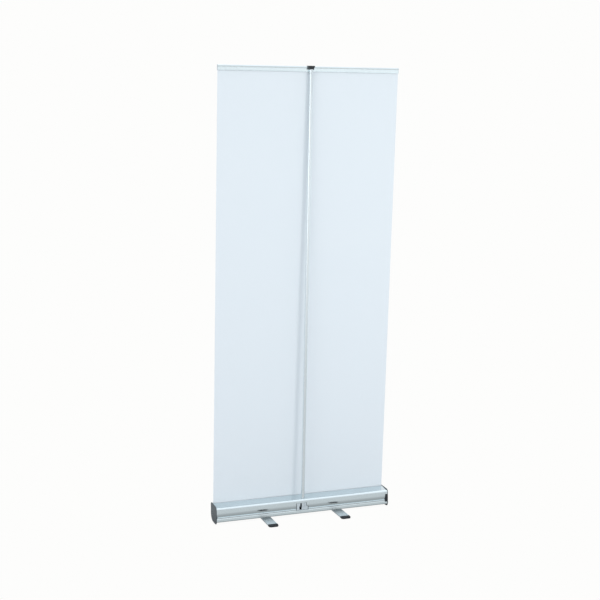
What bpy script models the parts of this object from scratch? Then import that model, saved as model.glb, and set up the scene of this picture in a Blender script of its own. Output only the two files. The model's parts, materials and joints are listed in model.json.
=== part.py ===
"""Roll-up banner stand: 850 x 2000 mm film on a spring roller, aluminium housing,
three-section pole, clamping top rail and two swivel feet.

Units are metres. +Z is up, X runs along the housing, -Y is the pole side and +Y the
graphic side. The origin is on the floor under the middle of the housing.
"""
import math

import bmesh
import bpy
from mathutils import Vector

# ---------------------------------------------------------------- driving sizes
FILM_WIDTH = 0.850
FILM_LENGTH = 2.003             # from the slot to the top of the rail
FILM_THICKNESS = 0.0003
FILM_LEAN = math.radians(4.18)  # the film leans back towards the pole side

HOUSING_LENGTH = 0.8546
HOUSING_TOP = 0.0915
HOUSING_BOTTOM = 0.0095
HOUSING_FRONT = 0.0455          # flat wall on the graphic side
TOP_CORNER = 0.013              # radius between the top and the flat wall
WALL = 0.0015
SLOT_Y = 0.022
SLOT_WIDTH = 0.006
GAP = 0.0003                    # clearance between neighbouring pieces

CAP_THICKNESS = 0.0024
CAP_EDGE = 0.0008
CAP_RIM = 0.0017                # how far the caps stand proud of the top far corner
CAP_SCREWS = [(0.0385, 0.0845), (0.0335, 0.0225), (-0.0398, 0.0218)]
PORT_RADIUS = 0.0036            # solid round each screw hole of the extrusion
SCREW_RADIUS = 0.0015
SCREW_HEAD_RADIUS = 0.0031
SCREW_HEAD_HEIGHT = 0.0012
SEAT_DEPTH = 0.0015             # recess of a screw head or of the lock pin's knob
LOCK_PIN_Y = -0.0200
LOCK_PIN_Z = 0.0460

ROLLER_RADIUS = 0.0125
ROLLER_WALL = 0.0012
ROLLER_LENGTH = 0.838
ROLLER_Z = 0.046
WRAP_RADIUS = 0.0134
HUB_RADIUS = 0.0120
HUB_DEPTH = 0.006
SHAFT_HEAD_RECESS = 0.0032
SHAFT_RADIUS = 0.003
SHAFT_START = 0.078             # inner end of the shaft

RAIL_LENGTH = 0.8506
BEAD_RADIUS = 0.0050
BEAD_BORE = 0.0032
JAW_PIN_RADIUS = 0.0029
RAIL_HEIGHT = 0.024

POLE_RADIUS = 0.008
POLE_WALL = 0.001
POLE_Y = -0.027                 # where the pole enters the housing's top
POLE_Z = 0.0905
POLE_DEPTH = 0.052              # length of pole held in the socket
POLE_TO_BEAD = BEAD_RADIUS + POLE_RADIUS + 0.0006
FERRULE_RADIUS = 0.0067
FERRULE_ENGAGED = 0.055

SOCKET_X = (-0.0368, 0.0192)    # the socket's block, with its ear on the right
SOCKET_EAR_X = 0.0105           # where the ear starts
SOCKET_EAR_TOP = 0.0515
SOCKET_SCREWS_X = (-0.0270, 0.0110)
SOCKET_SCREWS_Y = -0.006
NOTCH_X = (-0.0400, 0.0215)     # cut in the rear wall round the socket
NOTCH_STEP_X = 0.0125
NOTCH_STEP_Z = 0.0535
NOTCH_LOW = 0.0345
NOTCH_HIGH = 0.0700
LOCK_NOTCH_X = 0.0125           # how far the lock insert's cut reaches in from the end
LOCK_NOTCH_Z = (0.0312, 0.0692)

FOOT_X = 0.179
FOOT_HALF_LENGTH = 0.140
FOOT_WIDTH = 0.045
FOOT_TOP = 0.0078
FOOT_WALL = 0.0016
FOOT_LOW = 0.0012               # the channel's sides stop above the floor
FOOT_CORNER = 0.0015
RIVET_HOLE_RADIUS = 0.0033
WASHER_RADIUS = 0.0110
TIP_LENGTH = 0.024
TIP_HALF_WIDTH = 0.0230
TIP_CORNER = 0.0110

# ---------------------------------------------------------------- sizes worked out
ROLLER_Y = SLOT_Y + (HOUSING_TOP - ROLLER_Z) * math.tan(FILM_LEAN) - (
    (WRAP_RADIUS + GAP + FILM_THICKNESS) / math.cos(FILM_LEAN))
FILM_START = -((HOUSING_TOP - ROLLER_Z) * math.cos(FILM_LEAN)
               + (SLOT_Y - ROLLER_Y) * math.sin(FILM_LEAN))
BEAD_W = FILM_LENGTH - BEAD_RADIUS
BEAD_Y = SLOT_Y - BEAD_W * math.sin(FILM_LEAN)
BEAD_Z = HOUSING_TOP + BEAD_W * math.cos(FILM_LEAN)
POLE_REACH = math.hypot(BEAD_Y - POLE_Y, BEAD_Z - POLE_Z)
POLE_LEAN = math.atan2(POLE_Y - BEAD_Y, BEAD_Z - POLE_Z) + math.asin(POLE_TO_BEAD / POLE_REACH)
HOOK_BEAD_Z = math.sqrt(POLE_REACH ** 2 - POLE_TO_BEAD ** 2)
POLE_TOP = HOOK_BEAD_Z + BEAD_RADIUS + 0.0010
POLE_SECTION = (POLE_TOP + POLE_DEPTH) / 3
END_X = HOUSING_LENGTH / 2


# ---------------------------------------------------------------- helpers
def clear_scene():
    for obj in list(bpy.data.objects):
        bpy.data.objects.remove(obj, do_unlink=True)


def material(name, colour, roughness, metallic):
    mat = bpy.data.materials.new(name)
    mat.use_nodes = True
    shader = mat.node_tree.nodes["Principled BSDF"]
    shader.inputs["Base Color"].default_value = (*colour, 1.0)
    shader.inputs["Roughness"].default_value = roughness
    shader.inputs["Metallic"].default_value = metallic
    return mat


def empty(name, location, tilt=0.0):
    """A guide on a joint's axis; tilt turns it about X, which leans +Z towards -Y."""
    obj = bpy.data.objects.new(name, None)
    obj.location = location
    obj.rotation_euler = (tilt, 0.0, 0.0)
    bpy.context.collection.objects.link(obj)
    return obj


def finish_piece(name, bm, mat, parent=None, location=(0, 0, 0), rotation=(0, 0, 0)):
    bmesh.ops.recalc_face_normals(bm, faces=bm.faces)
    mesh = bpy.data.meshes.new(name)
    bm.to_mesh(mesh)
    bm.free()
    obj = bpy.data.objects.new(name, mesh)
    obj.location = location
    obj.rotation_euler = rotation
    obj.parent = parent
    bpy.context.collection.objects.link(obj)
    if mat is None:
        obj.hide_render = True
        obj.display_type = "WIRE"
    else:
        mesh.materials.append(mat)
        mesh.shade_smooth()
        mesh.set_sharp_from_angle(angle=math.radians(35))
    return obj


def boolean(target, other, operation="DIFFERENCE"):
    other.hide_render = True
    other.display_type = "WIRE"
    mod = target.modifiers.new(other.name, "BOOLEAN")
    mod.operation = operation
    mod.object = other
    mod.solver = "EXACT"


def arc(centre, radius, start, end, steps):
    """Points on a circle from one angle to another, in degrees."""
    angles = [math.radians(start + (end - start) * i / steps) for i in range(steps + 1)]
    return [(centre[0] + radius * math.cos(a), centre[1] + radius * math.sin(a)) for a in angles]


def arc_through(first, middle, last, steps):
    """Points on the circular arc that passes through three given points."""
    (ax, ay), (bx, by), (cx, cy) = first, middle, last
    scale = 2 * (ax * (by - cy) + bx * (cy - ay) + cx * (ay - by))
    a2 = ax * ax + ay * ay
    b2 = bx * bx + by * by
    c2 = cx * cx + cy * cy
    ox = (a2 * (by - cy) + b2 * (cy - ay) + c2 * (ay - by)) / scale
    oy = (a2 * (cx - bx) + b2 * (ax - cx) + c2 * (bx - ax)) / scale
    radius = math.hypot(ax - ox, ay - oy)
    start = math.atan2(ay - oy, ax - ox)
    turn = math.atan2(cy - oy, cx - ox) - start
    via = (math.atan2(by - oy, bx - ox) - start) % (2 * math.pi)
    turn %= 2 * math.pi
    if via > turn:
        turn -= 2 * math.pi
    return arc((ox, oy), radius, math.degrees(start), math.degrees(start + turn), steps)


def offset_path(points, distance):
    """Moves an open path sideways, to the left of its direction."""
    moved = []
    for i, point in enumerate(points):
        before = Vector(points[max(i - 1, 0)])
        after = Vector(points[min(i + 1, len(points) - 1)])
        here = Vector(point)
        ways = [(here - before).normalized(), (after - here).normalized()]
        ways = [way for way in ways if way.length > 0.5]
        normals = [Vector((-way.y, way.x)) for way in ways]
        bisector = sum(normals, Vector((0, 0))).normalized()
        moved.append(tuple(here + bisector * (distance / bisector.dot(normals[0]))))
    return moved


def extrude_rings(bm, rings):
    """Skins closed rings of equal size one after another and caps both ends."""
    loops = [[bm.verts.new(point) for point in ring] for ring in rings]
    count = len(loops[0])
    for low, high in zip(loops, loops[1:]):
        for i in range(count):
            j = (i + 1) % count
            bm.faces.new((low[i], low[j], high[j], high[i]))
    bm.faces.new(loops[0][::-1])
    bm.faces.new(loops[-1])


def bar(name, outline, start, end, mat, **place):
    """Extrudes a closed (y, z) outline along X."""
    bm = bmesh.new()
    extrude_rings(bm, [[(x, y, z) for y, z in outline] for x in (start, end)])
    return finish_piece(name, bm, mat, **place)


def box(name, low, high, mat, **place):
    outline = [(low[1], low[2]), (high[1], low[2]), (high[1], high[2]), (low[1], high[2])]
    return bar(name, outline, low[0], high[0], mat, **place)


def turned(name, profile, mat, segments=24, **place):
    """Turns a (radius, height) profile about Z; one that doesn't meet the axis is closed as a ring."""
    bm = bmesh.new()
    rings = []
    for radius, height in profile:
        if radius == 0:
            rings.append([bm.verts.new((0, 0, height))])
            continue
        angles = [2 * math.pi * i / segments for i in range(segments)]
        rings.append([bm.verts.new((radius * math.cos(a), radius * math.sin(a), height))
                      for a in angles])
    if profile[0][0] != 0:
        rings.append(rings[0])
    for low, high in zip(rings, rings[1:]):
        for i in range(segments):
            j = (i + 1) % segments
            corners = [low[i % len(low)], low[j % len(low)], high[j % len(high)], high[i % len(high)]]
            bm.faces.new(list(dict.fromkeys(corners)))
    return finish_piece(name, bm, mat, **place)


def pipe(name, outer, inner, start, end, mat, segments=24, **place):
    profile = [(inner, start), (outer, start), (outer, end), (inner, end)]
    return turned(name, profile, mat, segments, **place)


def rod(name, radius, start, end, mat, segments=24, **place):
    profile = [(0, start), (radius, start), (radius, end), (0, end)]
    return turned(name, profile, mat, segments, **place)


ALONG_X = (0, math.pi / 2, 0)   # turns a piece's own +Z to +X


# ---------------------------------------------------------------- housing
def rear_face():
    """Rear wall from the slot's near lip down to the foot of the convex face."""
    path = [(SLOT_Y - SLOT_WIDTH / 2, HOUSING_TOP)]
    path += arc_through((-0.0360, 0.0872), (-0.0442, 0.0831), (-0.0474, 0.0747), 5)
    path += arc_through((-0.0474, 0.0747), (-0.0480, 0.0600), (-0.0440, 0.0425), 7)[1:]
    return path


def lower_lip():
    """Underside from the lower lip to the far side and up to the slot's far lip."""
    path = [(-0.0480, 0.0334)]
    path += arc_through((-0.0486, 0.0250), (-0.0482, 0.0210), (-0.0458, 0.0188), 4)
    path += [(-0.0370, 0.0163), (-0.0150, HOUSING_BOTTOM)]
    path += arc_through((0.0100, HOUSING_BOTTOM), (0.0350, 0.0185), (HOUSING_FRONT, 0.0420), 7)
    path += arc((HOUSING_FRONT - TOP_CORNER, HOUSING_TOP - TOP_CORNER), TOP_CORNER, 0, 90, 5)
    path += [(SLOT_Y + SLOT_WIDTH / 2, HOUSING_TOP)]
    return path


def housing_outline():
    """Closed outline of the extrusion: ledge, groove and lip outside, plain wall inside."""
    groove_low = (-0.0466, 0.0350)
    ledge = [(-0.0470, 0.0407), (-0.0475, 0.0396), (-0.0466, 0.0376), groove_low]
    outside = rear_face() + ledge + lower_lip()
    inside = offset_path(rear_face() + [groove_low] + lower_lip()[4:], WALL)
    return outside + inside[::-1]


def notch_cutter(name, span, low, high, step_x, step_z):
    """Cutter through the rear wall: its right end is lower than the rest."""
    outline = [(span[0], low), (span[1], low), (span[1], step_z), (step_x, step_z), (step_x, high),
               (span[0], high)]
    bm = bmesh.new()
    extrude_rings(bm, [[(x, y, z) for x, z in outline] for y in (-0.060, -0.040)])
    return finish_piece(name, bm, None)


def make_housing(mat):
    housing = bar("housing", housing_outline(), -END_X, END_X, mat)
    for i, (y, z) in enumerate(CAP_SCREWS):
        port = rod(f"port_solid_{i}", PORT_RADIUS, -END_X + 0.0005, END_X - 0.0005, None, 12,
                   location=(0, y, z), rotation=ALONG_X)
        boolean(housing, port, "UNION")
    for i, (y, z) in enumerate(CAP_SCREWS):
        bore = rod(f"port_bore_{i}", SCREW_RADIUS + GAP, -0.5, 0.5, None, 12,
                   location=(0, y, z), rotation=ALONG_X)
        boolean(housing, bore)
    hole = rod("pole_hole", POLE_RADIUS + 0.0013, -0.012, 0.02, None, 32,
               location=(0, POLE_Y, POLE_Z), rotation=(POLE_LEAN, 0, 0))
    boolean(housing, hole)
    notch = notch_cutter("socket_notch", NOTCH_X, NOTCH_LOW, NOTCH_HIGH, NOTCH_STEP_X, NOTCH_STEP_Z)
    boolean(housing, notch)
    lock_notch = box("lock_notch", (END_X - LOCK_NOTCH_X, -0.060, LOCK_NOTCH_Z[0]),
                     (0.5, -0.0400, LOCK_NOTCH_Z[1]), None)
    boolean(housing, lock_notch)
    for x in (-FOOT_X, FOOT_X):
        hole = rod(f"rivet_hole_{x:.3f}", RIVET_HOLE_RADIUS, 0, 0.02, None, 16, location=(x, 0, 0))
        boolean(housing, hole)
    for x in SOCKET_SCREWS_X:
        hole = rod(f"socket_screw_hole_{x:.3f}", SCREW_RADIUS + GAP, 0, 0.02, None, 12,
                   location=(x, SOCKET_SCREWS_Y, 0))
        boolean(housing, hole)
    return housing


def cap_outline(inset):
    """Closed outline of an end cap, which stands proud of the housing all round."""
    path = arc_through((-0.0325, 0.0918), (-0.0438, 0.0872), (-0.0481, 0.0770), 5)
    path += arc_through((-0.0481, 0.0770), (-0.0500, 0.0560), (-0.0506, 0.0280), 6)[1:]
    path += arc_through((-0.0506, 0.0280), (-0.0450, 0.0138), (-0.0290, 0.0071), 6)[1:]
    path += [(-0.0060, 0.0058)]
    path += arc_through((0.0110, 0.0074), (0.0362, 0.0166), (0.0472, 0.0410), 7)
    path += arc((HOUSING_FRONT - TOP_CORNER, HOUSING_TOP - TOP_CORNER), TOP_CORNER + CAP_RIM, 0, 90, 6)
    path.append(path[0])
    closed = [path[-2]] + path + [path[1]]
    return offset_path(closed, inset)[1:-2]


def cap_ring(x, inset):
    return [(x, y, z) for y, z in cap_outline(inset)]


def make_end_cap(name, side, bore, mat):
    """A thin plate with a hub inside; side is -1 for the left cap and +1 for the right one."""
    inner = side * (END_X + GAP)
    outer = inner + side * CAP_THICKNESS
    hub_root = CAP_THICKNESS * 0.6
    bm = bmesh.new()
    rings = [cap_ring(inner, 0), cap_ring(outer - side * CAP_EDGE, 0)]
    rings += [cap_ring(outer - side * CAP_EDGE * 0.3, CAP_EDGE * 0.3), cap_ring(outer, CAP_EDGE)]
    extrude_rings(bm, rings)
    cap = finish_piece(name, bm, mat)
    hub = rod(f"{name}_hub", HUB_RADIUS, 0, HUB_DEPTH + hub_root, None, 24,
              location=(inner + side * hub_root, ROLLER_Y, ROLLER_Z), rotation=(0, -side * math.pi / 2, 0))
    boolean(cap, hub, "UNION")
    hole = rod(f"{name}_bore", bore, -0.02, 0.02, None, 24,
               location=(inner, ROLLER_Y, ROLLER_Z), rotation=ALONG_X)
    boolean(cap, hole)
    for i, (y, z) in enumerate(CAP_SCREWS):
        hole = rod(f"{name}_screw_hole_{i}", SCREW_RADIUS + GAP, -0.02, 0.02, None, 12,
                   location=(outer, y, z), rotation=ALONG_X)
        boolean(cap, hole)
        seat = rod(f"{name}_screw_seat_{i}", SCREW_HEAD_RADIUS + 0.0004, -SEAT_DEPTH, 0.01, None, 20,
                   location=(outer, y, z), rotation=(0, side * math.pi / 2, 0))
        boolean(cap, seat)
    return cap


def make_left_cap(mat):
    """The left cap also has a small tab that laps over the rear wall above the ledge."""
    cap = make_end_cap("left_end_cap", -1, 0.0060, mat)
    tab = box("left_cap_tab", (-END_X - 0.0020, -0.0508, 0.0375), (-END_X + 0.0023, -0.0489, 0.0480), None)
    boolean(cap, tab, "UNION")


def make_right_cap(mat):
    """The right cap has round recesses for the shaft's head and the lock pin's knob, and a notch
    for the lock insert."""
    cap = make_end_cap("right_end_cap", 1, SHAFT_RADIUS + GAP, mat)
    outer = END_X + GAP + CAP_THICKNESS
    hole = rod("lock_pin_hole", 0.0023, -0.02, 0.02, None, 16,
               location=(END_X, LOCK_PIN_Y, LOCK_PIN_Z), rotation=ALONG_X)
    boolean(cap, hole)
    recesses = ((LOCK_PIN_Y, LOCK_PIN_Z, SEAT_DEPTH), (ROLLER_Y, ROLLER_Z, SHAFT_HEAD_RECESS))
    for i, (y, z, depth) in enumerate(recesses):
        recess = rod(f"right_cap_recess_{i}", 0.0068, -depth, 0.01, None, 24,
                     location=(outer, y, z), rotation=ALONG_X)
        boolean(cap, recess)
    notch = box("right_cap_notch", (END_X - 0.01, -0.060, LOCK_NOTCH_Z[0] - 0.0001),
                (0.5, -0.0346, LOCK_NOTCH_Z[1] + 0.0001), None)
    boolean(cap, notch)


def make_screw(name, location, rotation, length, mat):
    """Pan-head screw whose head's underside is at its origin; it points along its own -Z."""
    r, head = SCREW_RADIUS, SCREW_HEAD_RADIUS
    profile = [(0, -length), (r * 0.4, -length), (r, -length + 0.002), (r, 0), (head, 0)]
    top = SCREW_HEAD_HEIGHT
    profile += [(head, top * 0.4), (head * 0.72, top * 0.9), (0, top)]
    screw = turned(name, profile, mat, 16, location=location, rotation=rotation)
    for half_x, half_y in ((0.0018, 0.0003), (0.0003, 0.0018)):
        recess = box(f"{name}_recess_{half_x:.4f}", (-half_x, -half_y, top * 0.35), (half_x, half_y, 0.004),
                     None, location=location, rotation=rotation)
        boolean(screw, recess)
    return screw


def make_cap_screws(mat):
    for side, label in ((-1, "left"), (1, "right")):
        seat_x = side * (END_X + GAP + CAP_THICKNESS - SEAT_DEPTH + 0.0002)
        for i, (y, z) in enumerate(CAP_SCREWS):
            turn = (0, side * math.pi / 2, 0)
            make_screw(f"{label}_cap_screw_{i + 1}", (seat_x, y, z), turn, 0.012, mat)


def make_lock_insert(mat):
    """Black block that fills the cuts in the rear wall and in the cap at the spring end."""
    outline = [(-0.0466, 0.0688), (-0.0484, 0.0620), (-0.0490, 0.0500), (-0.0490, 0.0316)]
    outline += [(-0.0350, 0.0316), (-0.0350, 0.0688)]
    outer = END_X + GAP + CAP_THICKNESS
    bar("lock_insert", outline, END_X - LOCK_NOTCH_X + GAP, outer - 0.0001, mat)


def make_lock_pin(mat, axis):
    """Pin through the right end cap; its thin knob lies in a recess of the cap's face."""
    top = CAP_THICKNESS - 0.0001
    low = CAP_THICKNESS - SEAT_DEPTH + 0.0002
    profile = [(0, -0.022), (0.0012, -0.022), (0.0020, -0.0205), (0.0020, low)]
    profile += [(0.0048, low), (0.0050, low + 0.0002), (0.0048, top - 0.0002)]
    profile += [(0.0036, top), (0, top)]
    turned("lock_pin", profile, mat, 20, parent=axis, rotation=ALONG_X)


# ---------------------------------------------------------------- pole socket
def make_pole_socket(mat):
    """Moulded block behind the rear wall, seen through the notch, with the pole's bore in it."""
    outline = [(-0.0462, 0.0688), (-0.0472, 0.0640), (-0.0474, 0.0560), (-0.0464, 0.0480)]
    outline += [(-0.0458, 0.0410), (-0.0458, 0.0366), (-0.0425, 0.0350), (-0.0425, 0.0310)]
    outline += [(-0.0240, 0.0310), (-0.0240, 0.0146), (-0.0160, 0.0122), (-0.0005, 0.0122)]
    outline += [(-0.0005, 0.0152), (-0.0140, 0.0152), (-0.0140, 0.0855), (-0.0320, 0.0850)]
    outline += [(-0.0384, 0.0822), (-0.0420, 0.0785), (-0.0436, 0.0740), (-0.0442, 0.0696)]
    socket = bar("pole_socket", outline, *SOCKET_X, mat)
    ear = box("socket_ear_cut", (SOCKET_EAR_X, -0.060, SOCKET_EAR_TOP), (0.030, -0.0400, 0.100), None)
    boolean(socket, ear)
    slit_outline = [(-0.0238, 0.0380), (-0.0128, 0.0380), (-0.0118, 0.0720), (-0.0178, 0.0720)]
    bm = bmesh.new()
    extrude_rings(bm, [[(x, y, z) for x, z in slit_outline] for y in (-0.060, -0.0330)])
    boolean(socket, finish_piece("socket_slit", bm, None))
    window = box("socket_window", (-0.0240, -0.060, 0.0455), (-0.0130, -0.0135, 0.0535), None)
    boolean(socket, window)
    seam = box("socket_seam", (0.0010, -0.060, 0.0510), (0.0022, -0.0448, 0.100), None)
    boolean(socket, seam)
    bore = rod("socket_bore", POLE_RADIUS + GAP, -POLE_DEPTH - 0.0006, 0.05, None, 24,
               location=(0, POLE_Y, POLE_Z), rotation=(POLE_LEAN, 0, 0))
    boolean(socket, bore)
    for x in SOCKET_SCREWS_X:
        hole = rod(f"flange_hole_{x:.3f}", SCREW_RADIUS + GAP, 0, 0.02, None, 12,
                   location=(x, SOCKET_SCREWS_Y, 0))
        boolean(socket, hole)


def make_socket_screws(mat):
    head_seat = HOUSING_BOTTOM - 0.0002
    for x, label in zip(SOCKET_SCREWS_X, ("left", "right")):
        make_screw(f"socket_screw_{label}", (x, SOCKET_SCREWS_Y, head_seat), (math.pi, 0, 0), 0.0075, mat)


# ---------------------------------------------------------------- roller and spring
def make_roller(tube_mat, plug_mat, film_mat, axis):
    half = ROLLER_LENGTH / 2
    inner = ROLLER_RADIUS - ROLLER_WALL
    place = {"parent": axis, "rotation": ALONG_X}
    pipe("roller_tube", ROLLER_RADIUS, inner, -half, half, tube_mat, 32, **place)
    film_half = FILM_WIDTH / 2
    pipe("leader_wraps", WRAP_RADIUS, ROLLER_RADIUS + GAP, -film_half, film_half, film_mat, 32, **place)
    axle_end = -(END_X + GAP + CAP_THICKNESS - 0.0009)
    idler = [(0, axle_end), (0.0040, axle_end), (0.0040, -half - 0.0005), (inner - GAP, -half - 0.0005)]
    idler += [(inner - GAP, -half + 0.025), (0, -half + 0.025)]
    turned("roller_idler_plug", idler, plug_mat, 24, **place)
    pipe("roller_spring_plug", inner - GAP, SHAFT_RADIUS + GAP, half - 0.018, half - 0.0005, plug_mat, 24,
         **place)


def make_spring_side(steel, plug_mat, bush_mat):
    place = {"location": (0, ROLLER_Y, ROLLER_Z), "rotation": ALONG_X}
    outer = END_X + GAP + CAP_THICKNESS
    shaft = [(0, SHAFT_START), (SHAFT_RADIUS, SHAFT_START), (SHAFT_RADIUS, outer - 0.0029)]
    shaft += [(0.0060, outer - 0.0029), (0.0060, outer - 0.0010), (0.0050, outer - 0.0001)]
    shaft += [(0, outer - 0.0001)]
    turned("spring_shaft", shaft, steel, 24, **place)
    pipe("spring_anchor", 0.0080, SHAFT_RADIUS + 0.0002, 0.082, 0.094, plug_mat, 24, **place)
    bush_inner = -(END_X + GAP - HUB_DEPTH)
    bush_outer = -(END_X + GAP + CAP_THICKNESS - 0.0006)
    pipe("left_axle_bush", 0.0060 - GAP, 0.0040 + GAP, bush_outer, bush_inner, bush_mat, 24, **place)


def make_torsion_spring(steel):
    """Coil round the shaft: one ring of wire points per step, skinned into a closed rod."""
    turns, steps, sides = 15, 10, 4
    coil, wire = 0.0072, 0.0009
    start, end = 0.098, ROLLER_LENGTH / 2 - 0.021
    rings = []
    for i in range(turns * steps + 1):
        angle = 2 * math.pi * i / steps
        along = start + (end - start) * i / (turns * steps)
        ring = []
        for k in range(sides):
            around = 2 * math.pi * k / sides
            reach = coil + wire * math.cos(around)
            ring.append((along + wire * math.sin(around), reach * math.cos(angle), reach * math.sin(angle)))
        rings.append(ring)
    bm = bmesh.new()
    extrude_rings(bm, rings)
    finish_piece("torsion_spring", bm, steel, location=(0, ROLLER_Y, ROLLER_Z))


# ---------------------------------------------------------------- film and top rail
def make_film(mat, film_frame):
    top = BEAD_W - BEAD_RADIUS - 0.0004
    half = FILM_THICKNESS / 2
    box("banner_film", (-FILM_WIDTH / 2, -half, FILM_START), (FILM_WIDTH / 2, half, top), mat,
        parent=film_frame)


def shift_to_bead(outline):
    return [(u, w + BEAD_W) for u, w in outline]


def make_rail(mat, cap_mat, film_frame):
    """Rear half of the snap rail: an open bead that holds the jaw, and the rear leg."""
    foot = BEAD_RADIUS - RAIL_HEIGHT
    outline = arc((0, 0), BEAD_RADIUS, 18, 224, 14)
    outline += [(-0.0036, foot + 0.0008), (-0.0030, foot), (-0.00045, foot), (-0.00045, -0.00498)]
    outline += [(0.00017, -0.0050)]
    outline += arc((0, 0), BEAD_BORE, 272, 18, 14)
    bar("rail_body", shift_to_bead(outline), -RAIL_LENGTH / 2, RAIL_LENGTH / 2, mat, parent=film_frame)
    plate = arc((0, 0), BEAD_RADIUS, -50, 224, 16)
    plate += [(-0.0036, foot + 0.0008), (-0.0030, foot), (0.0026, foot), (0.0032, foot + 0.0008)]
    for side, label in ((-1, "left"), (1, "right")):
        inner = side * (RAIL_LENGTH / 2 + 0.0001)
        outer = inner + side * 0.0009
        bar(f"rail_{label}_cap", shift_to_bead(plate), inner, outer, cap_mat, parent=film_frame)


def make_jaw(mat, jaw_axis):
    """Front half: a round pin in the bead, a neck, and a leg that presses on the film."""
    foot = BEAD_RADIUS - RAIL_HEIGHT
    outline = arc((0, 0), JAW_PIN_RADIUS, -46, 282, 16)
    outline += [(0.00105, -0.0046), (0.00105, foot + 0.0020), (0.00045, foot + 0.0014), (0.00045, foot)]
    outline += [(0.0026, foot), (0.0032, foot + 0.0008), (0.0032, -0.0052), (0.0029, -0.0046)]
    half = RAIL_LENGTH / 2 - 0.0004
    bar("rail_clamp_jaw", outline, -half, half, mat, parent=jaw_axis)


# ---------------------------------------------------------------- pole
def make_pole(mat, dark, cord_mat, frame):
    inner = POLE_RADIUS - POLE_WALL
    start = -POLE_DEPTH + 0.0033
    joint_low = -POLE_DEPTH + POLE_SECTION
    joint_high = joint_low + POLE_SECTION
    top = POLE_TOP - 0.0004
    sections = (("pole_lower_tube", start, joint_low - 0.0002),
                ("pole_middle_tube", joint_low + 0.0002, joint_high - 0.0002),
                ("pole_upper_tube", joint_high + 0.0002, top))
    for name, low, high in sections:
        pipe(name, POLE_RADIUS, inner, low, high, mat, 24, parent=frame)
    for name, level in (("lower_ferrule", joint_low), ("upper_ferrule", joint_high)):
        pipe(name, FERRULE_RADIUS, FERRULE_RADIUS - 0.001, level - 0.030, level + FERRULE_ENGAGED,
             mat, 20, parent=frame)
    plug = [(0, -POLE_DEPTH), (0.0068, -POLE_DEPTH), (0.0077, -POLE_DEPTH + 0.0010)]
    plug += [(0.0077, -POLE_DEPTH + 0.0030), (0.0066, -POLE_DEPTH + 0.0030)]
    plug += [(0.0066, -POLE_DEPTH + 0.0200), (0, -POLE_DEPTH + 0.0200)]
    turned("pole_foot_plug", plug, dark, 24, parent=frame)
    low = -POLE_DEPTH + 0.0204
    high = joint_high + FERRULE_ENGAGED + 0.0120
    cord = [(0, low), (0.0030, low + 0.0015), (0.0030, low + 0.0045), (0.0014, low + 0.0065)]
    cord += [(0.0014, high - 0.0065), (0.0030, high - 0.0045), (0.0030, high - 0.0015), (0, high)]
    turned("shock_cord", cord, cord_mat, 12, parent=frame)


def make_hook(mat, frame):
    """Black hook: a collar over the pole's end, and above it a wider bar that goes over the rail's bead."""
    bar_half, collar_half = 0.0138, 0.0105
    bead_y, bead_z = POLE_TO_BEAD, HOOK_BEAD_Z
    arm_under = bead_z + BEAD_RADIUS + 0.0005
    arm_top = bead_z + BEAD_RADIUS + 0.0022
    bar_low = arm_top - 0.0075
    collar_low = arm_top - 0.0170
    collar_front = bead_y - BEAD_RADIUS - 0.0005
    lip = bead_y + BEAD_RADIUS + 0.0005
    lip_low = bead_z + 0.0014
    outline = [(-0.0096, collar_low + 0.0004), (-0.0088, collar_low), (collar_front, collar_low)]
    outline += [(collar_front, arm_under), (lip, arm_under), (lip, lip_low), (lip + 0.0030, lip_low)]
    outline += arc((lip + 0.0004, arm_top - 0.0030), 0.0030, 0, 90, 3)
    outline += arc((-0.0066, arm_top - 0.0030), 0.0030, 90, 180, 3)
    hook = bar("pole_hook", outline, -bar_half, bar_half, mat, parent=frame)
    for side in (-1, 1):
        near, far = sorted((side * collar_half, side * 0.030))
        shoulder = box(f"hook_side_{side}", (near, -0.03, bar_low - 0.03), (far, 0.03, bar_low), None,
                       parent=frame)
        boolean(hook, shoulder)
    bore = rod("hook_bore", POLE_RADIUS + GAP, collar_low - 0.005, POLE_TOP, None, 24, parent=frame)
    boolean(hook, bore)
    arch = rod("hook_arch", 0.020, -0.05, 0.05, None, 48, parent=frame,
               location=(0, 0, collar_low - 0.0178), rotation=(math.pi / 2, 0, 0))
    boolean(hook, arch)


# ---------------------------------------------------------------- feet
def foot_tip_ring(direction, z, inset):
    """Plan of a tip: square at the channel, rounded at the outer end."""
    half = TIP_HALF_WIDTH - inset
    inner = FOOT_HALF_LENGTH - TIP_LENGTH + GAP
    outer = FOOT_HALF_LENGTH - inset
    right = arc((half - TIP_CORNER, outer - TIP_CORNER), TIP_CORNER, 0, 90, 5)
    left = arc((TIP_CORNER - half, outer - TIP_CORNER), TIP_CORNER, 90, 180, 5)
    plan = [(half, inner)] + right + left + [(-half, inner)]
    return [(x, direction * y, z) for x, y in plan]


def make_foot_tip(name, direction, mat, pivot):
    bm = bmesh.new()
    rings = [foot_tip_ring(direction, 0.0, 0.0008), foot_tip_ring(direction, 0.0008, 0.0)]
    rings += [foot_tip_ring(direction, 0.0062, 0.0), foot_tip_ring(direction, 0.0076, 0.0006)]
    rings += [foot_tip_ring(direction, 0.0082, 0.0020)]
    extrude_rings(bm, rings)
    tip = finish_piece(name, bm, mat, parent=pivot)
    inner = FOOT_HALF_LENGTH - TIP_LENGTH
    near, far = sorted((direction * (inner - 0.0150), direction * (inner + 0.0040)))
    tongue = box(f"{name}_tongue", (-0.0201, near, 0.0016), (0.0201, far, 0.0058), None, parent=pivot)
    boolean(tip, tongue, "UNION")


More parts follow.
